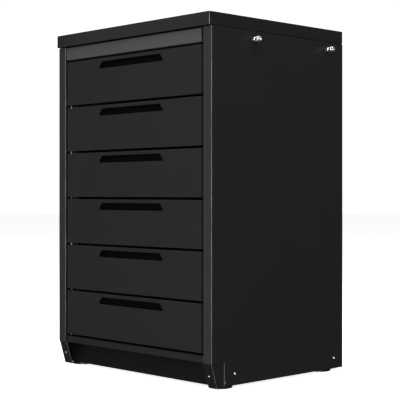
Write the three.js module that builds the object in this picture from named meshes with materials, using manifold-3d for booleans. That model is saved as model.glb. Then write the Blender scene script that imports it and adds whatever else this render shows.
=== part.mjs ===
// A steel workshop chest of six drawers on a recessed plinth with four levelling feet.
// Millimetres, +Z up, the drawers face -Y, and the origin is on the floor under the middle of the chest.
// Every piece is folded sheet steel apart from the finger pulls, the feet and the fasteners.

import * as THREE from "three";
import { mergeVertices } from "three/addons/utils/BufferGeometryUtils.js";
import Module from "manifold-3d";

const wasm = await Module();
wasm.setup();

// ---------------------------------------------------------------- driving dimensions
const WIDTH = 600; // over the side panels and the top cover
const HEIGHT = 900; // floor to top, feet wound in
const TOP_DEPTH = 497;
const TOP_OVERHANG = 7; // of the top cover past the front posts
const TOP_SKIRT = 32.4;
const SHEET = 1.2;
const CLEAR = 0.3; // between pieces that bear on each other
const PLINTH_TOP = 64.3;
const PLINTH_BOTTOM = 6.4;
const POST_WIDTH = 30; // front face of a side panel's folded post
const POST_RETURN = 16;
const REAR_FLANGE = 20;

const DRAWERS = 6;
const DRAWER_PITCH = 124;
const DRAWER_GAP = 6; // between one front and the next
const LOWEST_FRONT = 87.2; // bottom edge of the lowest front
const FRONT_INSET = 1.5; // of the drawer fronts behind the posts
const FRONT_WIDTH = 528;
const FRONT_DEPTH = 20;

const PULL_WIDTH_BOTTOM = 258;
const PULL_WIDTH_TOP = 228;
const PULL_HEIGHT = 18.5;
const PULL_DROP = 9.2; // top of the front to top of the finger slot

const SLIDE_SPACE = 12.7; // between an upright and a drawer tray
const SLIDE_LENGTH = 430;
const SLIDE_DROP = 24; // top of the front to the slide's centre line

const FOOT_INSET_X = 30;
const FOOT_INSET_Y = 60; // from the front of the body and from its back

// ---------------------------------------------------------------- worked out from them
const HALF = WIDTH / 2;
const BACK = TOP_DEPTH / 2;
const BODY_FRONT = -BACK + TOP_OVERHANG;
const SKIRT_BOTTOM = HEIGHT - TOP_SKIRT;
const BODY_TOP = SKIRT_BOTTOM - CLEAR;
const FRONT_FACE = BODY_FRONT + FRONT_INSET;
const FRONT_HEIGHT = DRAWER_PITCH - DRAWER_GAP;
const OPENING_HALF = HALF - POST_WIDTH;
const TRAY_HALF = OPENING_HALF - SLIDE_SPACE;
const TRAY_FRONT = FRONT_FACE + FRONT_DEPTH + CLEAR;
const SLIDE_FRONT = TRAY_FRONT + 1.2;
const SLIDE_BACK = SLIDE_FRONT + SLIDE_LENGTH;

// ---------------------------------------------------------------- colours
const finish = (color, roughness, metalness) => new THREE.MeshStandardMaterial({ color, roughness, metalness });
const BLACK_PAINT = finish(0x262626, 0.45, 0.2);
const POST_PAINT = finish(0x303030, 0.4, 0.2);
const STRIP_GREY = finish(0x4a4a4a, 0.35, 0.3);
const BLACK_PLASTIC = finish(0x0c0c0c, 0.5, 0);
const ZINC = finish(0xc4c8cc, 0.3, 0.9);
const RUBBER = finish(0x151515, 0.8, 0);

// ---------------------------------------------------------------- solids
const box = (x0, x1, y0, y1, z0, z1) =>
  new THREE.BoxGeometry(x1 - x0, y1 - y0, z1 - z0).translate((x0 + x1) / 2, (y0 + y1) / 2, (z0 + z1) / 2);

const shapeOf = (points) => new THREE.Shape(points.map(([u, v]) => new THREE.Vector2(u, v)));

const extruded = (points, depth) => new THREE.ExtrudeGeometry(shapeOf(points), { depth, bevelEnabled: false });

// A prism whose outline lies in X and Y and runs up from z0 to z1.
const prismUp = (points, z0, z1) => extruded(points, z1 - z0).translate(0, 0, z0);

// A prism whose outline lies in X and Z and runs back from y0 to y1.
const prismBack = (points, y0, y1) => extruded(points, y1 - y0).rotateX(Math.PI / 2).translate(0, y1, 0);

// A prism whose outline lies in Y and Z and runs across from x0 to x1.
const prismAcross = (points, x0, x1) =>
  extruded(points, x1 - x0).rotateX(Math.PI / 2).rotateZ(Math.PI / 2).translate(x0, 0, 0);

// The closed outline of a sheet folded along a line of points; the thickness goes to the line's left.
function folded(line, thickness = SHEET) {
  const normals = line.slice(1).map(([u, v], i) => {
    const du = u - line[i][0];
    const dv = v - line[i][1];
    const length = Math.hypot(du, dv);
    return [-dv / length, du / length];
  });
  const inner = line.map(([u, v], i) => {
    const a = normals[Math.max(i - 1, 0)];
    const b = normals[Math.min(i, normals.length - 1)];
    const k = thickness / (1 + a[0] * b[0] + a[1] * b[1]);
    return [u + (a[0] + b[0]) * k, v + (a[1] + b[1]) * k];
  });
  return [...line, ...inner.reverse()];
}

// A turned piece about the Z axis, from a profile of [radius, height] that starts and ends on the axis.
const turned = (profile, segments = 24) =>
  new THREE.LatheGeometry(profile.map(([r, z]) => new THREE.Vector2(r, z)), segments).rotateX(Math.PI / 2);

const rod = (radius, z0, z1, segments = 20) => turned([[0, z0], [radius, z0], [radius, z1], [0, z1]], segments);

function toSolid(geometry) {
  const plain = geometry.clone();
  plain.deleteAttribute("normal");
  plain.deleteAttribute("uv");
  const merged = mergeVertices(plain, 1e-4);
  return new wasm.Manifold(
    new wasm.Mesh({
      numProp: 3,
      vertProperties: new Float32Array(merged.attributes.position.array),
      triVerts: new Uint32Array(merged.index.array),
    }),
  );
}

function toGeometry(solid) {
  const mesh = solid.getMesh();
  const geometry = new THREE.BufferGeometry();
  geometry.setAttribute("position", new THREE.BufferAttribute(mesh.vertProperties, 3));
  geometry.setIndex(new THREE.BufferAttribute(mesh.triVerts, 1));
  geometry.computeVertexNormals();
  return geometry;
}

const join = (...geometries) => toGeometry(geometries.map(toSolid).reduce((a, b) => a.add(b)));
const cut = (geometry, ...tools) => toGeometry(tools.map(toSolid).reduce((a, b) => a.subtract(b), toSolid(geometry)));

// ---------------------------------------------------------------- assembly
const chest = new THREE.Group();

function piece(parent, name, geometry, material) {
  const mesh = new THREE.Mesh(geometry, material);
  mesh.name = name;
  parent.add(mesh);
  return mesh;
}

const SIDES = [["left", -1], ["right", 1]];
const mirrorX = (points, side) => points.map(([x, y]) => [x * side, y]);
const span = (a, b) => [Math.min(a, b), Math.max(a, b)];

// ---- top cover: a folded pan, open below, with a lip turned in all round its skirt
const LIP = 14;
piece(
  chest,
  "top_cover",
  cut(
    box(-HALF, HALF, -BACK, BACK, SKIRT_BOTTOM, HEIGHT),
    box(-HALF + SHEET, HALF - SHEET, -BACK + SHEET, BACK - SHEET, SKIRT_BOTTOM + SHEET, HEIGHT - SHEET),
    box(-HALF + LIP, HALF - LIP, -BACK + LIP, BACK - LIP, SKIRT_BOTTOM - 1, SKIRT_BOTTOM + 2 * SHEET),
  ),
  BLACK_PAINT,
);

// ---- joining bolts: where they stand on each side
const BOLT_Z = 846.5;
const BOLT_YS = [["front", BODY_FRONT + 147], ["rear", BODY_FRONT + 427]];
const BOLT_RADIUS = 4;
const BOLT_PROUD = 20.5;

// A rod along X with its end faces at x0 and x1.
const rodAcross = (radius, x0, x1, y, z, segments = 20) =>
  rod(radius, x0, x1, segments).rotateY(Math.PI / 2).translate(0, y, z);

// ---- side panels: side, front post with its return, rear flange and a flange under the top cover
for (const [label, side] of SIDES) {
  const line = [
    [OPENING_HALF, BODY_FRONT + POST_RETURN],
    [OPENING_HALF, BODY_FRONT],
    [HALF, BODY_FRONT],
    [HALF, BACK],
    [HALF - REAR_FLANGE, BACK],
  ];
  const [x0, x1] = span(side * (HALF - REAR_FLANGE), side * (HALF - SHEET / 2));
  const shell = join(
    prismUp(mirrorX(folded(line), side), PLINTH_TOP, BODY_TOP),
    box(x0, x1, BODY_FRONT + SHEET / 2, BACK - SHEET / 2, BODY_TOP - SHEET, BODY_TOP),
  );
  const holes = BOLT_YS.map(([, y]) =>
    rodAcross(BOLT_RADIUS + 0.4, ...span(side * (HALF - 10), side * (HALF + 10)), y, BOLT_Z),
  );
  piece(chest, `${label}_side_panel`, cut(shell, ...holes), POST_PAINT);
}

// ---- back panel, between the side panels and in front of their rear flanges
const BACK_PANEL_BACK = BACK - SHEET - CLEAR;
const INNER_HALF = HALF - SHEET - CLEAR;
piece(
  chest,
  "back_panel",
  box(-INNER_HALF, INNER_HALF, BACK_PANEL_BACK - SHEET, BACK_PANEL_BACK, PLINTH_TOP + SHEET + CLEAR, BODY_TOP - 2),
  BLACK_PAINT,
);

// ---- base panel: floor of the carcass
piece(
  chest,
  "base_panel",
  box(-INNER_HALF, INNER_HALF, BODY_FRONT + POST_RETURN + CLEAR, BACK_PANEL_BACK, PLINTH_TOP, PLINTH_TOP + SHEET),
  BLACK_PAINT,
);

// ---- front rails, each a channel across the opening between the posts
const RAIL_HALF = OPENING_HALF - CLEAR;
const BOTTOM_RAIL_TOP = LOWEST_FRONT - DRAWER_GAP;
const BOTTOM_RAIL_BOTTOM = 63;
const BOTTOM_RAIL_FACE = BODY_FRONT + 4.5;
const bottomRail = [
  [BOTTOM_RAIL_FACE + 14, BOTTOM_RAIL_TOP],
  [BOTTOM_RAIL_FACE, BOTTOM_RAIL_TOP],
  [BOTTOM_RAIL_FACE, BOTTOM_RAIL_BOTTOM],
  [BOTTOM_RAIL_FACE + 7, BOTTOM_RAIL_BOTTOM],
];
piece(chest, "bottom_front_rail", prismAcross(folded(bottomRail), -RAIL_HALF, RAIL_HALF), BLACK_PAINT);

const STRIP_BOTTOM = 830.3;
const STRIP_TOP = 865;
const STRIP_HALF = 265;
const STRIP_DEPTH = 9;
const headerStrip = [
  [BODY_FRONT + STRIP_DEPTH, STRIP_TOP],
  [BODY_FRONT, STRIP_TOP],
  [BODY_FRONT, STRIP_BOTTOM],
  [BODY_FRONT + STRIP_DEPTH, STRIP_BOTTOM],
];
piece(chest, "header_strip", prismAcross(folded(headerStrip), -STRIP_HALF, STRIP_HALF), STRIP_GREY);

const TOP_RAIL_FRONT = BODY_FRONT + STRIP_DEPTH + CLEAR;
const topRail = [
  [TOP_RAIL_FRONT + 18, BODY_TOP - SHEET - CLEAR],
  [TOP_RAIL_FRONT, BODY_TOP - SHEET - CLEAR],
  [TOP_RAIL_FRONT, STRIP_BOTTOM - 1],
  [TOP_RAIL_FRONT + 18, STRIP_BOTTOM - 1],
];
piece(chest, "top_front_rail", prismAcross(folded(topRail), -RAIL_HALF, RAIL_HALF), BLACK_PAINT);

// ---- runner racks: two uprights a side, with the fixed slide members welded across them
const UPRIGHT_DEPTH = 25;
const UPRIGHT_FRONTS = [BODY_FRONT + POST_RETURN + 4, 196];
const slideLevel = (n) => LOWEST_FRONT + FRONT_HEIGHT - SLIDE_DROP + (DRAWERS - n) * DRAWER_PITCH;

// A slide member's section in X and Z, a channel with its web at x and its lips reaching by reach.
function channelSection(x, reach, halfHeight, z) {
  const line = [[x + reach, z + halfHeight], [x, z + halfHeight], [x, z - halfHeight], [x + reach, z - halfHeight]];
  return folded(reach > 0 ? line : line.reverse());
}
const FIXED_MEMBER = { halfHeight: 22.5, lip: 7.5 };
const MIDDLE_MEMBER = { halfHeight: 18, lip: 5.7, offset: 4.8 };
const DRAWER_MEMBER = { halfHeight: 14, lip: 5.2 };

for (const [label, side] of SIDES) {
  const uprights = UPRIGHT_FRONTS.map((front) => {
    const line = [
      [INNER_HALF, front],
      [OPENING_HALF, front],
      [OPENING_HALF, front + UPRIGHT_DEPTH],
      [INNER_HALF, front + UPRIGHT_DEPTH],
    ];
    return prismUp(mirrorX(folded(line.reverse()), side), PLINTH_TOP + SHEET + CLEAR, STRIP_BOTTOM - 4);
  });
  const members = Array.from({ length: DRAWERS }, (_, i) => {
    const section = channelSection(OPENING_HALF + 0.2, -FIXED_MEMBER.lip, FIXED_MEMBER.halfHeight, slideLevel(i + 1));
    return prismBack(mirrorX(section, side), SLIDE_FRONT, SLIDE_BACK);
  });
  piece(chest, `${label}_runner_rack`, join(...uprights, ...members), ZINC);
}

// ---- plinth: front panel set back, two sides with turned ends, back panel, two sloping corner pieces
const PLINTH_RECESS = 35.4;
const PLINTH_FRONT_TOP = 61.7; // passes under the foot channel's flange
const PLINTH_SIDE_FRONT = BODY_FRONT + 42.4;
const PLINTH_FOLD = 14;
const PLINTH_ROOF = PLINTH_TOP - CLEAR;
const CORNER_TOP = PLINTH_ROOF;
const CORNER_INSET = 1.3;
const CORNER_WIDTH = 32;
const CORNER_SLOPE = 19; // how far the corner's foot stands behind its head

piece(
  chest,
  "plinth_front_panel",
  box(
    -HALF + 3, HALF - 3,
    BODY_FRONT + PLINTH_RECESS, BODY_FRONT + PLINTH_RECESS + SHEET,
    PLINTH_BOTTOM, PLINTH_FRONT_TOP,
  ),
  BLACK_PAINT,
);
piece(
  chest,
  "plinth_back_panel",
  box(-INNER_HALF, INNER_HALF, BACK_PANEL_BACK - SHEET, BACK_PANEL_BACK, PLINTH_BOTTOM, PLINTH_ROOF),
  BLACK_PAINT,
);
for (const [label, side] of SIDES) {
  const line = [
    [HALF - PLINTH_FOLD, PLINTH_SIDE_FRONT],
    [HALF, PLINTH_SIDE_FRONT],
    [HALF, BACK],
    [HALF - PLINTH_FOLD, BACK],
  ];
  piece(
    chest,
    `plinth_${label}_panel`,
    prismUp(mirrorX(folded(line), side), PLINTH_BOTTOM, PLINTH_ROOF),
    BLACK_PAINT,
  );

  const head = BODY_FRONT + 0.8;
  const toe = BODY_FRONT + CORNER_SLOPE;
  const cheek = [
    [head, CORNER_TOP],
    [toe, PLINTH_BOTTOM],
    [PLINTH_SIDE_FRONT - CLEAR, PLINTH_BOTTOM],
    [PLINTH_SIDE_FRONT - CLEAR, CORNER_TOP],
  ];
  const outside = HALF - CORNER_INSET;
  const slope = folded([[head, CORNER_TOP - 0.4], [toe, PLINTH_BOTTOM]]);
  piece(
    chest,
    `plinth_${label}_corner`,
    join(
      prismAcross(cheek, ...span(side * (outside - SHEET), side * outside)),
      prismAcross(slope, ...span(side * (HALF - CORNER_WIDTH), side * outside)),
    ),
    BLACK_PAINT,
  );
}

// ---- levelling: two channels under the base panel, each carrying two feet
const STEM_RADIUS = 5;
const FOOT_X = HALF - FOOT_INSET_X;
const FOOT_ROWS = [["front", BODY_FRONT + FOOT_INSET_Y], ["rear", BACK - FOOT_INSET_Y]];
const CHANNEL_HALF = 20;
const CHANNEL_FLANGE = 12;
const CHANNEL_FLOOR = 13;
const CHANNEL_SHEET = 2;
const CHANNEL_REACH = HALF - PLINTH_FOLD - CLEAR;
for (const [row, y] of FOOT_ROWS) {
  const line = [
    [y - CHANNEL_HALF - CHANNEL_FLANGE, PLINTH_ROOF - CHANNEL_SHEET],
    [y - CHANNEL_HALF, PLINTH_ROOF - CHANNEL_SHEET],
    [y - CHANNEL_HALF, CHANNEL_FLOOR],
    [y + CHANNEL_HALF, CHANNEL_FLOOR],
    [y + CHANNEL_HALF, PLINTH_ROOF - CHANNEL_SHEET],
    [y + CHANNEL_HALF + CHANNEL_FLANGE, PLINTH_ROOF - CHANNEL_SHEET],
  ];
  const channel = prismAcross(folded(line, CHANNEL_SHEET), -CHANNEL_REACH, CHANNEL_REACH);
  const holes = SIDES.map(([, side]) => rod(STEM_RADIUS + CLEAR, 0, 30).translate(side * FOOT_X, y, 0));
  piece(chest, `${row}_foot_channel`, cut(channel, ...holes), BLACK_PAINT);
}

const PAD_RADIUS = 28.5;
const PAD_TOP = 8;
const padProfile = [[0, 0], [PAD_RADIUS - 1, 0], [PAD_RADIUS, 1], [PAD_RADIUS, 4.2], [12, PAD_TOP], [0, PAD_TOP]];
const HEX_ACROSS = 17;
for (const [row, y] of FOOT_ROWS) {
  for (const [label, side] of SIDES) {
    const foot = new THREE.Group();
    foot.position.set(side * FOOT_X, y, 0);
    chest.add(foot);
    piece(foot, `${row}_${label}_foot_pad`, turned(padProfile, 32), RUBBER);
    piece(
      foot,
      `${row}_${label}_foot_screw`,
      join(rod(HEX_ACROSS / Math.sqrt(3), PAD_TOP + CLEAR, CHANNEL_FLOOR - CLEAR, 6), rod(STEM_RADIUS, 9, 60)),
      ZINC,
    );
  }
}

// ---- joining bolts: hexagon head, washer and shank
const HEX_HEAD = 13;
const HEAD_HEIGHT = 5.3;
const WASHER_RADIUS = 8;
const WASHER_HEIGHT = 1.6;
for (const [row, y] of BOLT_YS) {
  for (const [label, side] of SIDES) {
    const tip = HALF + BOLT_PROUD;
    const headBase = tip - HEAD_HEIGHT;
    const parts = [
      [HEX_HEAD / Math.sqrt(3), headBase, tip, 6],
      [WASHER_RADIUS, headBase - WASHER_HEIGHT, headBase + 0.1, 24],
      [BOLT_RADIUS, HALF - 12, headBase, 20],
    ];
    const solids = parts.map(([radius, x0, x1, segments]) =>
      rodAcross(radius, ...span(side * x0, side * x1), 0, 0, segments),
    );
    piece(chest, `${label}_${row}_joining_bolt`, join(...solids), ZINC).position.set(0, y, BOLT_Z);
  }
}

// ---- drawers: each a group with its origin at the bottom edge of its front
function pullOutline(grow) {
  const top = FRONT_HEIGHT - PULL_DROP + grow;
  const bottom = FRONT_HEIGHT - PULL_DROP - PULL_HEIGHT - grow;
  const wide = PULL_WIDTH_BOTTOM / 2 + grow;
  const narrow = PULL_WIDTH_TOP / 2 + grow;
  return [[-wide, bottom], [wide, bottom], [narrow, top], [-narrow, top]];
}

// A drawer front: a folded pan with a lip turned in behind it, and the finger slot.
const FRONT_LIP = 13;
function frontPanel() {
  const half = FRONT_WIDTH / 2;
  const back = FRONT_FACE + FRONT_DEPTH;
  return cut(
    box(-half, half, FRONT_FACE, back, 0, FRONT_HEIGHT),
    box(-half + SHEET, half - SHEET, FRONT_FACE + SHEET, back - SHEET, SHEET, FRONT_HEIGHT - SHEET),
    box(-half + FRONT_LIP, half - FRONT_LIP, back - 2 * SHEET, back + 1, FRONT_LIP, FRONT_HEIGHT - FRONT_LIP),
    prismBack(pullOutline(0), FRONT_FACE - 1, FRONT_FACE + 2 * SHEET),
  );
}

// The finger pull: a cup behind the slot in the front, open to the front.
const PULL_CUP_FRONT = FRONT_FACE + SHEET + CLEAR;
const PULL_CUP_BACK = FRONT_FACE + FRONT_DEPTH - SHEET - CLEAR;
function fingerPull() {
  return cut(
    prismBack(pullOutline(4), PULL_CUP_FRONT, PULL_CUP_BACK),
    prismBack(pullOutline(1.5), PULL_CUP_FRONT - 1, PULL_CUP_BACK - 1.5),
  );
}

const TRAY_SHEET = 1;
const TRAY_FLOOR = 6;
const TRAY_RIM = FRONT_HEIGHT - 8;
const TRAY_BACK = SLIDE_BACK - 5;
function tray() {
  const level = FRONT_HEIGHT - SLIDE_DROP;
  const shell = box(-TRAY_HALF, TRAY_HALF, TRAY_FRONT, TRAY_BACK, TRAY_FLOOR, TRAY_RIM);
  const hollow = box(
    -TRAY_HALF + TRAY_SHEET, TRAY_HALF - TRAY_SHEET,
    TRAY_FRONT + TRAY_SHEET, TRAY_BACK - TRAY_SHEET,
    TRAY_FLOOR + TRAY_SHEET, TRAY_RIM + 1,
  );
  const members = SIDES.map(([, side]) => {
    const section = channelSection(TRAY_HALF - 0.2, DRAWER_MEMBER.lip, DRAWER_MEMBER.halfHeight, level);
    return prismBack(mirrorX(section, side), SLIDE_FRONT, TRAY_BACK);
  });
  return join(cut(shell, hollow), ...members);
}

for (let n = 1; n <= DRAWERS; n += 1) {
  const drawer = new THREE.Group();
  drawer.position.z = LOWEST_FRONT + (DRAWERS - n) * DRAWER_PITCH;
  chest.add(drawer);
  piece(drawer, `drawer_${n}_front`, frontPanel(), BLACK_PAINT);
  piece(drawer, `drawer_${n}_finger_pull`, fingerPull(), BLACK_PLASTIC);
  piece(drawer, `drawer_${n}_tray`, tray(), BLACK_PAINT);
  for (const [label, side] of SIDES) {
    const web = OPENING_HALF - MIDDLE_MEMBER.offset;
    const section = channelSection(web, -MIDDLE_MEMBER.lip, MIDDLE_MEMBER.halfHeight, FRONT_HEIGHT - SLIDE_DROP);
    piece(drawer, `drawer_${n}_${label}_slide_member`, prismBack(mirrorX(section, side), SLIDE_FRONT, SLIDE_BACK), ZINC);
  }
}

export default chest;
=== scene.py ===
# A steel workshop chest of six drawers on a set-back plinth, in a plain studio.
# The chest's lengths are millimetres until finish_object makes its meshes, in metres.
# The materials and the studio are in metres.

import math

import bmesh
import bpy
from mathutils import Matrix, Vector


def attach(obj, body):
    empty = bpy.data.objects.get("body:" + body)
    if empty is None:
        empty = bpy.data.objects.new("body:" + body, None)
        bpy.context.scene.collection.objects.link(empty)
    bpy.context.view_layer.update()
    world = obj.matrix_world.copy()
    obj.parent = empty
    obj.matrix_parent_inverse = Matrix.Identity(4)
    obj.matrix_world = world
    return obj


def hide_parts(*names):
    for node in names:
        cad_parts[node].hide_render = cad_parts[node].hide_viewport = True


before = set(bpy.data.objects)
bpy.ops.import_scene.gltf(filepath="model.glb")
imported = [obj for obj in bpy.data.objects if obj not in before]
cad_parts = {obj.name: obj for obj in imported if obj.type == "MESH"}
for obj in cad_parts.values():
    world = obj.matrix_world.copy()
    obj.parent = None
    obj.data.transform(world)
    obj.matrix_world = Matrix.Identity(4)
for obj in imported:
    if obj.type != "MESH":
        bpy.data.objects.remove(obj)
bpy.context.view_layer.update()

# ---------------------------------------------------------------- dimensions
# A name that ends in HALF is a distance from the middle; the others are places on an axis, or lengths.
SHEET = 1.2
CLEAR = 0.3

# the body
HALF = 300.0
HEIGHT = 900.0
BACK = 248.5
BODY_FRONT = -241.5
SKIRT_BOTTOM = 867.6
BODY_TOP = SKIRT_BOTTOM - CLEAR
POST = 30.0
POST_RETURN = 16.0
REAR_FLANGE = 20.0
OPENING = HALF - POST
RAIL_HALF = OPENING - CLEAR

# the plinth
PLINTH_TOP = 64.3
PLINTH_BOTTOM = 6.4
PLINTH_ROOF = PLINTH_TOP - CLEAR
PLINTH_SIDE_FRONT = BODY_FRONT + 42.4
PLINTH_FLANGE = 14.0
CORNER_BOTTOM = 3.9
CORNER_HALF = HALF - 32.0
CORNER_HEAD = BODY_FRONT + 0.8
CORNER_TOE = BODY_FRONT + 19.0

# the drawers and what is above and below them; a drawer's heights are from its front's lower edge
DRAWERS = 6
PITCH = 124.0
LOWEST = 87.2
GAP = 6.0
FRONT_FACE = BODY_FRONT + 1.5
FRONT_H = PITCH - GAP
FRONT_HALF = 264.0
FRONT_DEPTH = 20.0
SLOT_BOTTOM_HALF = 129.0
SLOT_TOP_HALF = 114.0
SLOT_TOP = FRONT_H - 9.2
SLOT_BOTTOM = SLOT_TOP - 18.5
TRAY_FLOOR = 6.0
TRAY_RIM = FRONT_H - 8.0
TRAY_HALF = OPENING - 12.7
TRAY_FRONT = FRONT_FACE + FRONT_DEPTH + CLEAR
SLIDE_FRONT = TRAY_FRONT + SHEET
SLIDE_BACK = SLIDE_FRONT + 430.0
TRAY_BACK = SLIDE_BACK - 5.0
SLIDE_Z = FRONT_H - 24.0
RAIL_FACE = BODY_FRONT + 4.5
RAIL_BOTTOM = 63.0
RAIL_TOP = LOWEST - GAP
STRIP_BOTTOM = 830.3
STRIP_TOP = 865.0
STRIP_HALF = 265.0
STRIP_DEPTH = 9.0

# the runner racks behind the posts, and the slides
RACK_BOTTOM = PLINTH_TOP + 1.5
RACK_TOP = STRIP_BOTTOM - 4.0
RACK_HALF = HALF - SHEET - CLEAR
UPRIGHT_FRONTS = (BODY_FRONT + 20.0, 196.0)
UPRIGHT_DEPTH = 25.0
MIDDLE_WEB = OPENING - 4.8
CAGE_FRONT = 60.0
CAGE_BACK = 205.0
RACK_SCREW_YS = (-209.0, 205.0)
MEMBER_SCREW_YS = (-206.0, -60.0, 190.0)

# the levelling feet and the screws
FOOT_X = 270.0
FOOT_ROWS = (("front", BODY_FRONT + 60.0), ("rear", BACK - 60.0))
BOLT_ROWS = (("front", BODY_FRONT + 147.0), ("rear", BODY_FRONT + 427.0))
BOLT_Z = 846.5
BOLT_TIP = HALF + 20.5
PLINTH_SCREW_YS = (BODY_FRONT + 78.3, BODY_FRONT + 451.9)
PLINTH_SCREW_Z = 34.2

SIDES = (("left", -1), ("right", 1))
CABINET = "cabinet"


# ---------------------------------------------------------------- materials
COAT_ROUGHNESS = 0.12
# the part of a noise's range that colours and roughness are spread over
CLOUDY = (0.3, 0.7)


def node(tree, kind, **values):
    """A shader node, with values for its sockets or settings by name."""
    made = tree.nodes.new(kind)
    for key, value in values.items():
        if key in made.inputs:
            made.inputs[key].default_value = value
        else:
            setattr(made, key, value)
    return made


def ramp(tree, fac, low, high):
    """Fades from one colour to another as fac goes through the cloudy range."""
    made = tree.nodes.new("ShaderNodeValToRGB")
    for element, position, colour in zip(made.color_ramp.elements, CLOUDY, (low, high)):
        element.position = position
        element.color = (*colour, 1)
    tree.links.new(fac, made.inputs["Fac"])
    return made.outputs["Color"]


def grey(value):
    """A neutral colour."""
    return (value, value, value)


def new_material(name, metallic=0.0, specular=0.5, coat=0.0):
    """A material with its node tree, its shader and the coordinates of the piece."""
    material = bpy.data.materials.new(name)
    material.use_nodes = True
    tree = material.node_tree
    shader = tree.nodes["Principled BSDF"]
    shader.inputs["Metallic"].default_value = metallic
    shader.inputs["Specular IOR Level"].default_value = specular
    shader.inputs["Coat Weight"].default_value = coat
    shader.inputs["Coat Roughness"].default_value = COAT_ROUGHNESS
    coordinates = node(tree, "ShaderNodeTexCoord").outputs["Object"]
    return material, tree, shader, coordinates


def noise(tree, coordinates, scale, detail=2.0, roughness=0.5, stretch=None):
    """Noise over the piece, drawn out along the axes whose stretch is small."""
    if stretch:
        mapping = node(tree, "ShaderNodeMapping", Scale=stretch)
        tree.links.new(coordinates, mapping.inputs["Vector"])
        coordinates = mapping.outputs["Vector"]
    made = node(tree, "ShaderNodeTexNoise", Scale=scale, Detail=detail, Roughness=roughness)
    tree.links.new(coordinates, made.inputs["Vector"])
    return made.outputs["Fac"]


def bump(tree, height, strength, distance):
    """Normals shaken by a height, distance metres high."""
    made = node(tree, "ShaderNodeBump", Strength=strength, Distance=distance)
    tree.links.new(height, made.inputs["Height"])
    return made.outputs["Normal"]


def to_range(tree, value, low, high):
    """Spreads the cloudy range of a noise from low to high."""
    made = node(tree, "ShaderNodeMapRange")
    made.inputs["From Min"].default_value = CLOUDY[0]
    made.inputs["From Max"].default_value = CLOUDY[1]
    made.inputs["To Min"].default_value = low
    made.inputs["To Max"].default_value = high
    tree.links.new(value, made.inputs["Value"])
    return made.outputs["Result"]


def powder_coat(name, value, roughness, specular=0.5, grain=0.12, coat=0.0):
    """Sprayed and baked paint: a fine orange peel and a slight mottle, with or without a gloss over it."""
    material, tree, shader, coordinates = new_material(name, specular=specular, coat=coat)
    mottle = noise(tree, coordinates, 6.0, 4.0, 0.6)
    colour = ramp(tree, mottle, grey(value * 0.95), grey(value * 1.05))
    tree.links.new(colour, shader.inputs["Base Color"])
    smear = noise(tree, coordinates, 9.0, 3.0, 0.5)
    tree.links.new(to_range(tree, smear, roughness - 0.015, roughness + 0.015), shader.inputs["Roughness"])
    peel = noise(tree, coordinates, 900.0, 2.0, 0.5)
    tree.links.new(bump(tree, peel, grain, 0.0004), shader.inputs["Normal"])
    return material


def plated(name, value, roughness, stretch=(1.0, 1.0, 1.0)):
    """Bright steel, its draw lines running along the axis whose stretch is small."""
    material, tree, shader, coordinates = new_material(name, metallic=1.0)
    cloud = noise(tree, coordinates, 40.0, 4.0, 0.6)
    bluish = [value * k for k in (0.84, 0.87, 0.9)]
    warm = [value * k for k in (1.0, 1.0, 0.98)]
    tree.links.new(ramp(tree, cloud, bluish, warm), shader.inputs["Base Color"])
    lines = noise(tree, coordinates, 260.0, 3.0, 0.6, stretch=stretch)
    tree.links.new(to_range(tree, lines, roughness - 0.06, roughness + 0.1), shader.inputs["Roughness"])
    tree.links.new(bump(tree, lines, 0.15, 0.0003), shader.inputs["Normal"])
    return material


def moulded(name, value, roughness, scale, specular=0.4):
    """Black plastic or rubber with a fine moulded grain."""
    material, tree, shader, coordinates = new_material(name, specular=specular)
    cloud = noise(tree, coordinates, 25.0, 3.0, 0.5)
    colour = ramp(tree, cloud, grey(value * 0.8), grey(value * 1.25))
    tree.links.new(colour, shader.inputs["Base Color"])
    tree.links.new(to_range(tree, cloud, roughness - 0.05, roughness + 0.08), shader.inputs["Roughness"])
    grain = noise(tree, coordinates, scale, 1.0, 0.5)
    tree.links.new(bump(tree, grain, 0.25, 0.0004), shader.inputs["Normal"])
    return material


BODY_PAINT = powder_coat("body_powder_coat", 0.0142, 0.36, specular=0.35, coat=0.12)
DRAWER_PAINT = powder_coat("drawer_powder_coat", 0.0185, 0.42, specular=0.34)
# A lighter, glossier copy of the side sheets' paint for their forward faces, the posts: the lighter colour
# is painted light, the gloss catches the lamps along the folds.
POST_LIGHTENED_PAINT = powder_coat("post_coat_painted_light", 0.0235, 0.3, specular=0.3, coat=0.8)
KICK_PAINT = powder_coat("plinth_powder_coat", 0.0085, 0.5, specular=0.18)
TOP_PAINT = powder_coat("top_powder_coat", 0.0095, 0.32, specular=0.15, coat=1.0)
STRIP_PAINT = powder_coat("strip_satin", 0.085, 0.22, grain=0.04)
# Near-black paint on the posts' returns and the drawer fronts' right folds: painted shade in the gaps
# beside the drawers.
SHADE_PAINT = powder_coat("painted_shade_coat", 0.003, 0.6, specular=0.1)
EDGE_PAINT = powder_coat("edge_powder_coat", 0.012, 0.34, specular=0.3, coat=0.5)
# A darker, glossier copy of the body's paint for the forward faces of the corner sheets' sloping flanges:
# painted shade.
CORNER_SHADED_PAINT = powder_coat("corner_coat_painted_shade", 0.01, 0.3, specular=0.25, coat=0.5)
INNER_PAINT = powder_coat("inner_powder_coat", 0.02, 0.5)
ZINC_ALONG = plated("zinc_strip", 0.72, 0.3, (1.0, 0.04, 1.0))
ZINC_UP = plated("zinc_upright", 0.68, 0.38, (1.0, 1.0, 0.04))
ZINC_TURNED = plated("zinc_fastener", 0.8, 0.24)
# Zinc made nearly black for the bolts' threaded shanks: the ridges are modelled, the near-black colour is
# painted shade under the flanges.
SHADED_THREAD = plated("thread_zinc_painted_shade", 0.04, 0.4)
STEEL_BALL = plated("bearing_ball", 0.85, 0.12)
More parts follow.
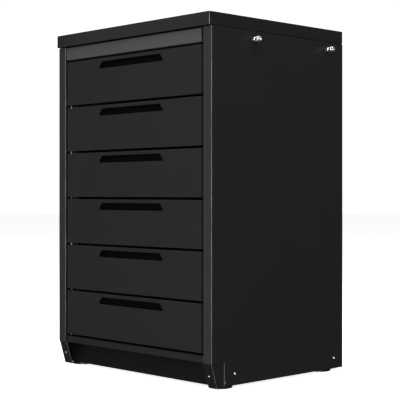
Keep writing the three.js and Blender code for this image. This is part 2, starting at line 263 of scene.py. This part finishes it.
# Black plastic made nearly lightless: the finger cups' own black, darkened further as painted shade in the
# hollow behind each slot; the rack slot marks use it as painted shade too.
BLACK_AND_SHADE_PLASTIC = moulded("black_plastic_and_painted_shade", 0.003, 0.6, 1400.0, 0.08)
RUBBER = moulded("foot_rubber", 0.008, 0.3, 900.0, 1.0)


# ---------------------------------------------------------------- mesh building
EDGE_BREAK = 0.25
SHARP_ANGLE = math.radians(40)
BREAK_ANGLE = math.radians(50)
FOLD_RADIUS = 2.4
FOLD_STEPS = 5


def dress(made, bevel):
    """Breaks a piece's sharp edges and keeps its flat faces flat in the light."""
    if bevel:
        modifier = made.modifiers.new("edges", "BEVEL")
        modifier.width = bevel / 1000
        modifier.segments = 2
        modifier.limit_method = "ANGLE"
        modifier.angle_limit = BREAK_ANGLE
    normals = made.modifiers.new("flats", "WEIGHTED_NORMAL")
    normals.keep_sharp = True
    normals.weight = 60


def keep_cad(name, material):
    """A CAD node that is shown as it is, with its edges broken."""
    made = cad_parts[name]
    made.data.materials.clear()
    made.data.materials.append(material)
    made.data.shade_smooth()
    made.data.set_sharp_from_angle(angle=SHARP_ANGLE)
    dress(made, EDGE_BREAK)


def finish_object(name, bm, material, body, replaces=(), bevel=EDGE_BREAK, accents=()):
    """Turns a bmesh in millimetres into a piece that rides on a body.

    accents pairs further materials with tests that pick out the faces they are for.
    """
    bmesh.ops.remove_doubles(bm, verts=bm.verts, dist=1e-4)
    bmesh.ops.recalc_face_normals(bm, faces=bm.faces)
    bmesh.ops.scale(bm, vec=(0.001, 0.001, 0.001), verts=bm.verts)
    mesh = bpy.data.meshes.new(name)
    bm.to_mesh(mesh)
    bm.free()
    mesh.shade_smooth()
    mesh.set_sharp_from_angle(angle=SHARP_ANGLE)
    mesh.materials.append(material)
    for index, (accent, chosen) in enumerate(accents, start=1):
        mesh.materials.append(accent)
        for polygon in mesh.polygons:
            if chosen(polygon):
                polygon.material_index = index
    made = bpy.data.objects.new(name, mesh)
    bpy.context.scene.collection.objects.link(made)
    dress(made, bevel)
    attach(made, body)
    if replaces:
        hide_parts(*replaces)


def looks_forward(polygon):
    """A face turned to the chest's front, or the front half of a fold."""
    return polygon.normal.y < -0.3


def on_right_fold(polygon):
    """A strip of a fold that turns from the front to the right."""
    return polygon.normal.y < -0.25 and polygon.normal.x > 0.25


def on_post_return(polygon):
    """The flange that runs back from a post's inner edge; it gets painted shade."""
    x, y = abs(polygon.center.x) * 1000, polygon.center.y * 1000
    return abs(x - OPENING) < 0.4 and y < BODY_FRONT + POST_RETURN + 4.0


def arc_points(centre, radius, start, end, steps):
    """Points round an arc, both ends included."""
    return [
        (
            centre[0] + radius * math.cos(start + (end - start) * i / steps),
            centre[1] + radius * math.sin(start + (end - start) * i / steps),
        )
        for i in range(steps + 1)
    ]


def folded(line, radius=FOLD_RADIUS, thickness=SHEET, steps=FOLD_STEPS):
    """The outline of a sheet folded along a line; its thickness goes to the line's left."""
    near, far = [], []
    last = len(line) - 1
    for i, (u, v) in enumerate(line):
        if i in (0, last):
            a, b = (line[0], line[1]) if i == 0 else (line[-2], line[-1])
            d = Vector((b[0] - a[0], b[1] - a[1])).normalized()
            near.append((u, v))
            far.append((u - d.y * thickness, v + d.x * thickness))
            continue
        d0 = Vector((u - line[i - 1][0], v - line[i - 1][1])).normalized()
        d1 = Vector((line[i + 1][0] - u, line[i + 1][1] - v)).normalized()
        turn = math.atan2(d0.x * d1.y - d0.y * d1.x, d0.dot(d1))
        sign = 1 if turn > 0 else -1
        r = radius if sign > 0 else max(radius - thickness, 0.3)
        reach = r * math.tan(abs(turn) / 2)
        start = Vector((u, v)) - d0 * reach
        centre = start + Vector((-d0.y, d0.x)) * r * sign
        angle = math.atan2(start.y - centre.y, start.x - centre.x)
        near += arc_points(centre, r, angle, angle + turn, steps)
        far += arc_points(centre, r - thickness * sign, angle, angle + turn, steps)
    return near + far[::-1]


def join_rings(bm, a, b):
    """A band of quads between two closed rings."""
    for i in range(len(a)):
        j = (i + 1) % len(a)
        bm.faces.new((a[i], a[j], b[j], b[i]))


def close_sheet(bm, rings):
    """The surface of a folded sheet between the two rings at its ends, and both ends."""
    count = len(rings[0])
    join_rings(bm, *rings)
    for ring in rings:
        for i in range(count // 2 - 1):
            bm.faces.new((ring[i], ring[i + 1], ring[count - 2 - i], ring[count - 1 - i]))


def prism(outline, low, high, axis):
    """A folded sheet's outline run along X, Y or Z."""
    place = {
        "x": lambda p, a: (a, p[0], p[1]),
        "y": lambda p, a: (p[0], a, p[1]),
        "z": lambda p, a: (p[0], p[1], a),
    }[axis]
    bm = bmesh.new()
    close_sheet(bm, [[bm.verts.new(place(p, a)) for p in outline] for a in (low, high)])
    return bm


def mirrored(points, side):
    """An outline for the right side, turned over for the left."""
    return [(x * side, y) for x, y in points]


def add_box(bm, x0, x1, y0, y1, z0, z1):
    """A box between two places on each axis."""
    for v in bmesh.ops.create_cube(bm, size=1.0)["verts"]:
        v.co = Vector((
            x1 if v.co.x > 0 else x0,
            y1 if v.co.y > 0 else y0,
            z1 if v.co.z > 0 else z0,
        ))


def add_turned(bm, profile, segments=32, origin=(0, 0, 0), along="z", sign=1):
    """A lathe of (radius, height) points that starts and ends on the axis."""
    place = {
        "z": lambda r, a, h: (r * math.cos(a), r * math.sin(a), h * sign),
        "x": lambda r, a, h: (h * sign, r * math.cos(a), r * math.sin(a)),
        "y": lambda r, a, h: (r * math.cos(a), h * sign, r * math.sin(a)),
    }[along]
    rings = []
    for r, h in profile:
        angles = [2 * math.pi * k / segments for k in range(segments)] if r > 1e-6 else [0]
        rings.append([bm.verts.new(Vector(place(r, a, h)) + Vector(origin)) for a in angles])
    for low, high in zip(rings, rings[1:]):
        for k in range(segments):
            n = (k + 1) % segments
            corners = [low[k % len(low)], low[n % len(low)], high[n % len(high)], high[k % len(high)]]
            unique = list(dict.fromkeys(corners))
            if len(unique) > 2:
                bm.faces.new(unique)


def merge(target, source):
    """Moves one bmesh into another."""
    mesh = bpy.data.meshes.new("part")
    source.to_mesh(mesh)
    source.free()
    target.from_mesh(mesh)
    bpy.data.meshes.remove(mesh)


def rows_of(low, high, count):
    """Evenly spaced places from low to high."""
    return [low + (high - low) * k / (count - 1) for k in range(count)]


def pan(place, width, height, profile, hole=None, corner=0.8, steps=3):
    """A folded pan: its wall's outline (inset, depth) swept round a rectangle with rounded corners.

    profile is (near, far): the sheet's two surfaces from the face to the lip's edge.
    hole(grow) gives a hole's outline in the face as the points of its four corners, from the lower left,
    anticlockwise.
    """
    near, far = profile
    bm = bmesh.new()
    w, h = width / 2, height

    def ring(inset, depth):
        """The pan's outline at one level of its wall."""
        right, top = w - inset, h - inset
        corners = [(-right, inset), (right, inset), (right, top), (-right, top)]
        groups = rounded_groups(corners, max(corner - inset, 0.12), steps)
        return [bm.verts.new(place(u, v, depth)) for group in groups for u, v in group]

    outer = [ring(*p) for p in near]
    inner = [ring(*p) for p in far]
    path = outer + inner[::-1]
    for a, b in zip(path, path[1:]):
        join_rings(bm, a, b)
    if hole is None:
        bm.faces.new(outer[0])
        bm.faces.new(inner[0])
        return bm

    def loops(grow, depth):
        """The hole's four corners at one level."""
        return [[bm.verts.new(place(u, v, depth)) for u, v in group] for group in hole(grow)]

    sheet = far[0][1]
    rounding, knee, chamfer = 0.35, 0.1, 0.15
    levels = [
        (rounding, 0.0),
        (knee, knee),
        (0.0, rounding),
        (0.0, sheet - chamfer),
        (chamfer, sheet),
    ]
    made = [loops(*level) for level in levels]
    middle = (steps + 1) // 2
    for face, groups in ((outer[0], made[0]), (inner[0], made[-1])):
        sides = [face[k * (steps + 1) : (k + 1) * (steps + 1)] for k in range(4)]
        for k in range(4):
            n = (k + 1) % 4
            hole_a = groups[k][len(groups[k]) // 2 :]
            hole_b = groups[n][: len(groups[n]) // 2 + 1]
            edge = [*sides[k][middle:], *sides[n][: middle + 1]]
            bm.faces.new([*edge, *reversed(hole_b), *reversed(hole_a)])
    for a, b in zip(made, made[1:]):
        join_rings(bm, [v for group in a for v in group], [v for group in b for v in group])
    return bm


def pan_profile(depth, lip, radius, thickness=SHEET):
    """The wall of a pan as (inset, depth) points: face, bend, wall, bend, lip."""
    line = [(radius + 1.0, 0.0), (0.0, 0.0), (0.0, depth), (lip, depth)]
    outline = folded([(u, -v) for u, v in line], radius, thickness)
    points = [(u, -v) for u, v in outline]
    half = len(points) // 2
    return points[:half], points[half:][::-1]


def rounded_groups(corners, radius, steps):
    """For each corner of a closed outline, the points of its rounding, in order."""
    groups = []
    count = len(corners)
    for i, corner in enumerate(corners):
        c = Vector(corner)
        d0 = (c - Vector(corners[i - 1])).normalized()
        d1 = (Vector(corners[(i + 1) % count]) - c).normalized()
        turn = math.atan2(d0.x * d1.y - d0.y * d1.x, d0.dot(d1))
        start = c - d0 * radius * math.tan(abs(turn) / 2)
        centre = start + Vector((-d0.y, d0.x)) * radius
        angle = math.atan2(start.y - centre.y, start.x - centre.x)
        groups.append(arc_points(centre, radius, angle, angle + turn, steps))
    return groups


SLOT_STEPS = 4


def slot_outline(grow, radius=2.5):
    """The finger slot in a drawer front, grown outwards by grow."""
    low, high = SLOT_BOTTOM - grow, SLOT_TOP + grow
    corners = [
        (-SLOT_BOTTOM_HALF - grow, low),
        (SLOT_BOTTOM_HALF + grow, low),
        (SLOT_TOP_HALF + grow, high),
        (-SLOT_TOP_HALF - grow, high),
    ]
    return rounded_groups(corners, radius + grow, SLOT_STEPS)


# ---------------------------------------------------------------- cabinet
def lid_place(u, v, depth):
    """Lays the top cover's pan face up, its wall hanging down."""
    return (u, v - BACK, HEIGHT - depth)


def side_sheet(side):
    """A side panel folded into its post in front and a flange behind, with a flange under the cover."""
    line = [
        (OPENING, BODY_FRONT + POST_RETURN),
        (OPENING, BODY_FRONT),
        (HALF, BODY_FRONT),
        (HALF, BACK),
        (HALF - REAR_FLANGE, BACK),
    ]
    bm = prism(mirrored(folded(line, 2.8, steps=8), side), PLINTH_TOP, BODY_TOP - 1.0, "z")
    ends = sorted((side * (HALF - REAR_FLANGE), side * (HALF - 2.5)))
    add_box(bm, *ends, BODY_FRONT + 14.0, BACK - 3.0, BODY_TOP - 2.2, BODY_TOP)
    return bm


def cross_rail(face, bottom, top, lower_flange, upper_flange, half, radius):
    """A sheet across the front, turned back along both of its long edges."""
    line = [(face + upper_flange, top), (face, top), (face, bottom), (face + lower_flange, bottom)]
    return prism(folded(line, radius), -half, half, "x")


def rivets():
    """Low domed rivets down the rear flanges that hold the back panel."""
    bm = bmesh.new()
    dome = [(0, -0.2), (2.6, -0.2), (2.6, 0.25), (2.1, 0.8), (1.2, 1.15), (0, 1.25)]
    for _, side in SIDES:
        for z in rows_of(110.0, 830.0, 7):
            add_turned(bm, dome, 16, (side * (HALF - REAR_FLANGE / 2), BACK, z), "y")
    return bm


finish_object(
    "top_cover_sheet",
    pan(lid_place, 2 * HALF, 2 * BACK, pan_profile(HEIGHT - SKIRT_BOTTOM, 14.0, 1.2), corner=4.0, steps=8),
    TOP_PAINT, CABINET, ["top_cover"], bevel=0,
)
for label, side in SIDES:
    finish_object(
        f"{label}_side_sheet", side_sheet(side),
        BODY_PAINT, CABINET, [f"{label}_side_panel"],
        # The posts' returns get painted shade.
        # The side sheet's forward faces get the lighter post paint: painted light.
        accents=[(POST_LIGHTENED_PAINT, looks_forward), (SHADE_PAINT, on_post_return)],
    )
finish_object(
    "bottom_rail_sheet",
    cross_rail(RAIL_FACE, RAIL_BOTTOM, RAIL_TOP, 7.0, 14.0, RAIL_HALF, 2.6),
    DRAWER_PAINT, CABINET, ["bottom_front_rail"],
)
finish_object(
    "header_strip_sheet",
    cross_rail(BODY_FRONT, STRIP_BOTTOM, STRIP_TOP, STRIP_DEPTH, STRIP_DEPTH, STRIP_HALF, 1.8),
    STRIP_PAINT, CABINET, ["header_strip"],
)
TOP_RAIL_FACE = BODY_FRONT + STRIP_DEPTH + CLEAR
TOP_RAIL_TOP = BODY_TOP - SHEET - CLEAR
finish_object(
    "top_rail_sheet",
    cross_rail(TOP_RAIL_FACE, STRIP_BOTTOM - 1.0, TOP_RAIL_TOP, 18.0, 18.0, RAIL_HALF, 2.0),
    INNER_PAINT, CABINET, ["top_front_rail"],
)
keep_cad("back_panel", BODY_PAINT)
keep_cad("base_panel", INNER_PAINT)
finish_object("back_rivets", rivets(), ZINC_TURNED, CABINET, bevel=0)

# ---- runner racks: uprights, with painted shade for their punched slots, and the fixed slide members across them
LOW_HEAD = [(0, 0), (3.6, 0), (3.6, 0.42), (2.9, 0.9), (1.6, 1.14), (0, 1.2)]


def drawer_base(n):
    """The height of drawer n's lower edge; drawer 1 is at the top."""
    return LOWEST + (DRAWERS - n) * PITCH


def slide_level(n):
    """The height of the middle of drawer n's slides."""
    return drawer_base(n) + SLIDE_Z


LEVELS = [slide_level(n) for n in range(1, DRAWERS + 1)]


def channel(x, lip, half, z, side, y0, y1, radius):
    """A slide member: web at x, lips reaching by lip, run from y0 to y1."""
    line = [(x + lip, z + half), (x, z + half), (x, z - half), (x + lip, z - half)]
    if lip < 0:
        line.reverse()
    return prism(mirrored(folded(line, radius, steps=4), side), y0, y1, "y")


def uprights(side):
    """A side's two uprights, open towards the side panel."""
    bm = bmesh.new()
    for front in UPRIGHT_FRONTS:
        rear = front + UPRIGHT_DEPTH
        line = [(RACK_HALF, rear), (OPENING, rear), (OPENING, front), (RACK_HALF, front)]
        merge(bm, prism(mirrored(folded(line, 1.8), side), RACK_BOTTOM, RACK_TOP, "z"))
    return bm


def slot_shade_marks(side):
    """Dark marks for the slots down the uprights' faces, standing 0.12 mm out of them: painted shade where
    the punched holes are.
    """
    inner, outer = side * (OPENING - 0.12), side * (OPENING + 0.4)
    bm = bmesh.new()
    for front in UPRIGHT_FRONTS:
        for z in rows_of(RACK_BOTTOM + 14.0, RACK_TOP - 14.0, 31):
            add_box(bm, inner, outer, front + 9.5, front + 15.5, z - 5.0, z + 5.0)
    return bm


def fixed_members(side):
    """A side's outer slide members, one for each drawer."""
    bm = bmesh.new()
    for level in LEVELS:
        merge(bm, channel(OPENING + 0.2, -7.5, 22.5, level, side, SLIDE_FRONT, SLIDE_BACK, 2.6))
    return bm


def member_screws(x, direction, ys, levels, scale=1.0):
    """Low screw heads on the webs of slide members."""
    bm = bmesh.new()
    profile = [(r * scale, h) for r, h in LOW_HEAD]
    for z in levels:
        for y in ys:
            add_turned(bm, profile, 14, (x, y, z), "x", direction)
    return bm


for label, side in SIDES:
    finish_object(
        f"{label}_rack_uprights", uprights(side), ZINC_UP, CABINET, [f"{label}_runner_rack"],
    )
    # Black marks stand for the punched slots: painted shade.
    finish_object(f"{label}_rack_slot_shade", slot_shade_marks(side), BLACK_AND_SHADE_PLASTIC, CABINET, bevel=0)
    finish_object(f"{label}_fixed_members", fixed_members(side), ZINC_ALONG, CABINET)
    screws = member_screws(side * (OPENING - 1.0), -side, RACK_SCREW_YS, LEVELS)
    finish_object(f"{label}_rack_screws", screws, ZINC_TURNED, CABINET, bevel=0)

# ---- plinth
PAN_HEAD = [(0, 0), (4.0, 0), (4.0, 0.7), (3.6, 1.5), (2.8, 2.1), (1.5, 2.4), (1.1, 1.5), (0, 1.1)]
RIVET_HEAD = [(0, -0.2), (2.1, -0.2), (2.1, 0.2), (1.6, 0.7), (0, 1.0)]


def plinth_side(side):
    """A side of the plinth with a flange turned in at each end."""
    line = [
        (HALF - PLINTH_FLANGE, PLINTH_SIDE_FRONT),
        (HALF, PLINTH_SIDE_FRONT),
        (HALF, BACK),
        (HALF - PLINTH_FLANGE, BACK),
    ]
    outline = mirrored(folded(line, 3.4, steps=8), side)
    return prism(outline, PLINTH_BOTTOM, PLINTH_TOP - 0.02, "z")


def corner_piece(side):
    """A cheek and a sloping front flange, folded from one sheet along the slope."""
    outside = HALF - 1.3
    rear = PLINTH_SIDE_FRONT - CLEAR
    bm = bmesh.new()
    rings = []
    for front, z in ((CORNER_TOE, CORNER_BOTTOM), (CORNER_HEAD, PLINTH_ROOF)):
        line = [(CORNER_HALF, front + 5.0), (CORNER_HALF, front), (outside, front), (outside, rear)]
        outline = mirrored(folded(line, 3.6, steps=8), side)
        rings.append([bm.verts.new((x, y, z)) for x, y in outline])
    close_sheet(bm, rings)
    return bm


def pan_head(bm, origin, along, sign, scale, tilt=0.0):
    """A pan-head screw with a dimple for its recess, tilted about X."""
    count = len(bm.verts)
    add_turned(bm, [(r * scale, h * scale) for r, h in PAN_HEAD], 24, (0, 0, 0), along, sign)
    bm.verts.ensure_lookup_table()
    for v in bm.verts[count:]:
        if tilt:
            y, z = v.co.y, v.co.z
            v.co.y = y * math.cos(tilt) - z * math.sin(tilt)
            v.co.z = y * math.sin(tilt) + z * math.cos(tilt)
        v.co += Vector(origin)


def plinth_screws(side):
    """Two screws and a rivet in a side of the plinth, and a screw in its corner piece's slope."""
    bm = bmesh.new()
    for y in PLINTH_SCREW_YS:
        pan_head(bm, (side * HALF, y, PLINTH_SCREW_Z), "x", side, 0.85)
    slope = math.atan2(CORNER_TOE - CORNER_HEAD, PLINTH_ROOF - PLINTH_BOTTOM)
    pan_head(bm, (side * (HALF - 19.0), BODY_FRONT + 9.9, 33.0), "y", -1, 0.75, slope)
    add_turned(bm, RIVET_HEAD, 16, (side * HALF, PLINTH_SIDE_FRONT + 3.2, 15.5), "x", side)
    return bm


keep_cad("plinth_front_panel", KICK_PAINT)
keep_cad("plinth_back_panel", BODY_PAINT)
keep_cad("front_foot_channel", INNER_PAINT)
keep_cad("rear_foot_channel", INNER_PAINT)
for label, side in SIDES:
    finish_object(
        f"plinth_{label}_sheet", plinth_side(side),
        BODY_PAINT, CABINET, [f"plinth_{label}_panel"],
        accents=[(EDGE_PAINT, on_right_fold)],
    )
    finish_object(
        f"plinth_{label}_corner_sheet", corner_piece(side),
        BODY_PAINT, CABINET, [f"plinth_{label}_corner"],
        # The sloping flange's forward faces get the darker corner paint: painted shade.
        accents=[(CORNER_SHADED_PAINT, looks_forward), (EDGE_PAINT, on_right_fold)],
    )
    screws = plinth_screws(side)
    finish_object(f"plinth_{label}_screws", screws, ZINC_TURNED, CABINET, bevel=0)

# ---- levelling feet
FOOT_PAD = [
    (0, 0.0), (26.4, 0.0), (27.6, 0.35), (28.2, 1.0), (28.2, 1.9), (28.45, 2.2), (28.45, 3.9),
    (28.1, 4.5), (26.8, 4.9), (15.0, 7.0), (13.4, 7.9), (0, 8.0),
]
HEX_ACROSS = 17.0
HEX_BOTTOM = 8.3
HEX_TOP = 12.7
HEX_CHAMFER = 0.6
STEM_RADIUS = 4.7
STEM_TOP = 60.0


def thread(radius, low, high, pitch=1.5, depth=0.7):
    """The profile of a stem whose thread is a stack of ridges."""
    points = [(0, low)]
    z = low
    while z + pitch <= high:
        points += [(radius - depth, z), (radius, z + pitch / 2)]
        z += pitch
    return points + [(radius - depth, z), (radius - depth - 1.0, high), (0, high)]


def foot_pad(place):
    """A round pad, stepped at its rim and rising to the screw's seat."""
    bm = bmesh.new()
    add_turned(bm, FOOT_PAD, 72, place)
    return bm


def foot_screw(place):
    """A hexagon with a broken upper edge, and the threaded stem above it."""
    r = HEX_ACROSS / math.sqrt(3)
    hexagon = [
        (0, HEX_BOTTOM),
        (r, HEX_BOTTOM),
        (r, HEX_TOP - HEX_CHAMFER),
        (r - HEX_CHAMFER * 1.6, HEX_TOP),
        (0, HEX_TOP),
    ]
    bm = bmesh.new()
    add_turned(bm, hexagon, 6, place)
    add_turned(bm, thread(STEM_RADIUS, HEX_TOP, STEM_TOP), 24, place)
    return bm


for row, y in FOOT_ROWS:
    for label, side in SIDES:
        body = f"{row}_{label}_foot"
        place = (side * FOOT_X, y, 0)
        finish_object(
            f"{body}_pad_moulding", foot_pad(place),
            RUBBER, body, [f"{body}_pad"], bevel=0,
        )
        finish_object(
            f"{body}_threaded_stem", foot_screw(place),
            ZINC_TURNED, body, [f"{body}_screw"], bevel=0,
        )

# ---- joining bolts; the flange's and the cap's heights are from the tip, the collar's from the side panel
BOLT_FLANGE = [(0, -7.4), (7.2, -7.4), (7.6, -6.9), (7.6, -6.2), (7.0, -5.4), (0, -5.2)]
BOLT_CAP = [(0, -5.3), (6.4, -5.3), (6.4, -1.2), (5.6, -0.2), (3.7, 0), (3.3, -1.0), (3.2, -3.4), (0, -3.6)]
BOLT_COLLAR = [(0, 0.1), (5.8, 0.1), (6.2, 0.6), (6.2, 3.2), (5.4, 4.8), (3.8, 5.6), (0, 5.6)]
SHANK_RADIUS = 3.6
SHANK_END = HALF - 12.0


def bolt_head(y, side):
    """A flange and a cap with a round recess at the tip, and a collar against the side panel."""
    bm = bmesh.new()
    for start, profile in ((BOLT_TIP, BOLT_FLANGE), (BOLT_TIP, BOLT_CAP), (HALF, BOLT_COLLAR)):
        add_turned(bm, [(r, start + h) for r, h in profile], 36, (0, y, BOLT_Z), "x", side)
    return bm


def bolt_shank(y, side):
    """The thread from inside the side panel out to the flange."""
    bm = bmesh.new()
    profile = thread(SHANK_RADIUS, SHANK_END, BOLT_TIP - 7.3, 1.25, 0.6)
    add_turned(bm, profile, 24, (0, y, BOLT_Z), "x", side)
    return bm


for row, y in BOLT_ROWS:
    for label, side in SIDES:
        bolt = f"{label}_{row}"
        finish_object(
            f"{bolt}_bolt_head", bolt_head(y, side),
            ZINC_TURNED, CABINET, [f"{bolt}_joining_bolt"], bevel=0,
        )
        shank = bolt_shank(y, side)
        # The shank is nearly black: painted shade.
        finish_object(f"{bolt}_bolt_shank", shank, SHADED_THREAD, CABINET, bevel=0)

# ---------------------------------------------------------------- drawers
def finger_cup(place):
    """A moulded cup behind the finger slot: a flange, drafted walls and a rounded floor."""
    outside = [(1.5, 1.6), (4.0, 1.6), (4.0, 3.0), (3.0, 3.0), (2.2, 16.0), (1.2, 17.8), (-1.0, 18.4)]
    inside = [(-4.5, 16.9), (-2.2, 16.6), (-0.4, 15.6), (0.6, 13.5), (1.5, 2.0)]
    bm = bmesh.new()
    rings = []
    for grow, depth in outside + inside:
        flat = [p for group in slot_outline(grow, radius=5.0) for p in group]
        rings.append([bm.verts.new(place(u, v, depth)) for u, v in flat])
    floor = len(outside)
    for a, b in zip(rings[: floor - 1], rings[1:floor]):
        join_rings(bm, a, b)
    for a, b in zip(rings[floor:], rings[floor + 1 :] + rings[:1]):
        join_rings(bm, a, b)
    bm.faces.new(rings[floor - 1])
    bm.faces.new(rings[floor])
    return bm


def own_members(level):
    """A drawer's own slide members on both sides of its tray, and their screws."""
    bm = bmesh.new()
    for _, side in SIDES:
        merge(bm, channel(TRAY_HALF + 0.1, 5.0, 14.0, level, side, SLIDE_FRONT, TRAY_BACK, 2.0))
        merge(bm, member_screws(side * (TRAY_HALF + 1.3), side, MEMBER_SCREW_YS, [level], 0.8))
    return bm


def ball_cages(x, z, half):
    """A slide's ball cages: a strip above and a strip below, each with a row of balls."""
    cage = bmesh.new()
    balls = bmesh.new()
    for edge in (-1, 1):
        low, high = sorted((z + edge * (half - 0.4), z + edge * (half + 0.4)))
        add_box(cage, x - 2.0, x + 2.0, CAGE_FRONT, CAGE_BACK, low, high)
        for y in rows_of(CAGE_FRONT + 7.0, CAGE_BACK - 7.0, 9):
            made = bmesh.ops.create_uvsphere(balls, u_segments=10, v_segments=6, radius=1.35)["verts"]
            bmesh.ops.translate(balls, verts=made, vec=(x, y, z + edge * half))
    return cage, balls


def make_drawer(body, base, level):
    """A drawer's front, finger cup, tray and own slide members."""

    def front_place(u, v, depth):
        """Stands the front's pan up, its wall running back."""
        return (u, FRONT_FACE + depth, base + v)

    def tray_place(u, v, depth):
        """Lays the tray's pan on its floor, its wall running up."""
        return (u, TRAY_FRONT + v, base + TRAY_FLOOR + depth)

    tray_profile = pan_profile(TRAY_RIM - TRAY_FLOOR, 7.0, 1.8, 1.0)
    finish_object(
        f"{body}_front_sheet",
        pan(front_place, 2 * FRONT_HALF, FRONT_H, pan_profile(FRONT_DEPTH, 13.0, 0.9), slot_outline),
        DRAWER_PAINT, body, [f"{body}_front"], bevel=0,
        # The front's right fold gets painted shade.
        accents=[(SHADE_PAINT, on_right_fold)],
    )
    finish_object(
        f"{body}_finger_cup", finger_cup(front_place),
        # The cup's near-black is partly painted shade for the hollow behind the slot.
        BLACK_AND_SHADE_PLASTIC, body, [f"{body}_finger_pull"], bevel=0,
    )
    finish_object(
        f"{body}_tray_sheet", pan(tray_place, 2 * TRAY_HALF, TRAY_BACK - TRAY_FRONT, tray_profile),
        INNER_PAINT, body, [f"{body}_tray"], bevel=0,
    )
    finish_object(f"{body}_own_members", own_members(level), ZINC_ALONG, body)


def make_middle_member(drawer, label, side, level):
    """The member between a drawer's and the rack's, with the ball cages that ride on it."""
    body = f"{drawer}_{label}_member"
    finish_object(
        f"{drawer}_{label}_middle_member",
        channel(MIDDLE_WEB, -5.7, 18.0, level, side, SLIDE_FRONT, SLIDE_BACK, 2.2),
        ZINC_ALONG, body, [f"{drawer}_{label}_slide_member"],
    )
    cage, balls = ball_cages(side * (MIDDLE_WEB - 3.6), level, 15.4)
    finish_object(f"{drawer}_{label}_ball_cage", cage, ZINC_ALONG, body)
    finish_object(f"{drawer}_{label}_balls", balls, STEEL_BALL, body, bevel=0)


for n in range(1, DRAWERS + 1):
    make_drawer(f"drawer_{n}", drawer_base(n), slide_level(n))
    for label, side in SIDES:
        make_middle_member(f"drawer_{n}", label, side, slide_level(n))

# ---------------------------------------------------------------- studio
FAR = 25.0
WALL_RADIUS = FAR * 0.9
WALL_SIDES = 48


def staged(name, corners, faces, material):
    """A surface of the studio that the camera sees, and that neither lights the chest nor shades it."""
    mesh = bpy.data.meshes.new(name)
    mesh.from_pydata(corners, [], faces)
    mesh.materials.append(material)
    made = bpy.data.objects.new(name, mesh)
    bpy.context.scene.collection.objects.link(made)
    made.visible_diffuse = False
    made.visible_glossy = False
    made.visible_shadow = False


def studio_material(name, value, glow):
    """Matt near-white that glows a little by itself."""
    material, tree, shader, coordinates = new_material(name, specular=0.1)
    cloud = noise(tree, coordinates, 0.8, 2.0, 0.5)
    colour = ramp(tree, cloud, grey(value * 0.99), grey(value))
    tree.links.new(colour, shader.inputs["Base Color"])
    shader.inputs["Roughness"].default_value = 0.9
    shader.inputs["Emission Color"].default_value = (1, 1, 1, 1)
    shader.inputs["Emission Strength"].default_value = glow
    return material


staged(
    "floor",
    [(-FAR, -FAR, 0), (FAR, -FAR, 0), (FAR, FAR, 0), (-FAR, FAR, 0)],
    [(0, 1, 2, 3)],
    studio_material("pale_floor", 0.85, 0.87),
)
wall = arc_points((0, 0), WALL_RADIUS, 0, 2 * math.pi, WALL_SIDES)[:-1]
wall_edges = [(k, (k + 1) % WALL_SIDES) for k in range(WALL_SIDES)]
staged(
    "backdrop",
    [(x, y, z) for z in (-0.5, 30.0) for x, y in wall],
    [(a, b, b + WALL_SIDES, a + WALL_SIDES) for a, b in wall_edges],
    studio_material("white_backdrop", 0.85, 1.0),
)

# the camera looks level, and its shift sets the chest where the photograph has it
CAMERA_PLACE = (2.1696, BODY_FRONT / 1000 - 1.8294, 0.4685)
CAMERA_YAW = math.radians(45.83)
CAMERA_SHIFT = (-0.019, -0.0161)
LENS = 99.74
SENSOR = 36.0
camera_data = bpy.data.cameras.new("camera")
camera_data.lens = LENS
camera_data.sensor_width = SENSOR
camera_data.shift_x, camera_data.shift_y = CAMERA_SHIFT
camera = bpy.data.objects.new("camera", camera_data)
camera.location = CAMERA_PLACE
camera.rotation_euler = (math.radians(90), 0, CAMERA_YAW)
bpy.context.scene.collection.objects.link(camera)
bpy.context.scene.camera = camera

world = bpy.data.worlds.new("studio")
world.use_nodes = True
world.node_tree.nodes["Background"].inputs["Color"].default_value = (1, 1, 1, 1)
world.node_tree.nodes["Background"].inputs["Strength"].default_value = 0.1
bpy.context.scene.world = world


def softbox(name, location, target, size, power):
    """A rectangular light that faces its target."""
    data = bpy.data.lights.new(name, "AREA")
    data.shape = "RECTANGLE"
    data.size, data.size_y = size
    data.energy = power
    made = bpy.data.objects.new(name, data)
    made.location = location
    made.rotation_euler = (Vector(target) - Vector(location)).to_track_quat("-Z", "Y").to_euler()
    bpy.context.scene.collection.objects.link(made)
    return made


MIDDLE = (0, 0, 0.45)
softbox("overhead", (0.4, -0.4, 3.6), (0, 0, 0), (5.0, 5.0), 250)
softbox("key", (2.2, -2.6, 0.9), MIDDLE, (0.35, 2.4), 50)
softbox("front_fill", (-2.15, -3.2, 0.1), (0, 0, 0.1), (2.6, 4.0), 6.4)
# this one only makes the highlights along the folds
edge_strip = softbox("edge_strip", (2.2, -2.6, -0.2), MIDDLE, (0.35, 4.4), 64)
edge_strip.visible_diffuse = False

bpy.context.scene.view_settings.view_transform = "Standard"
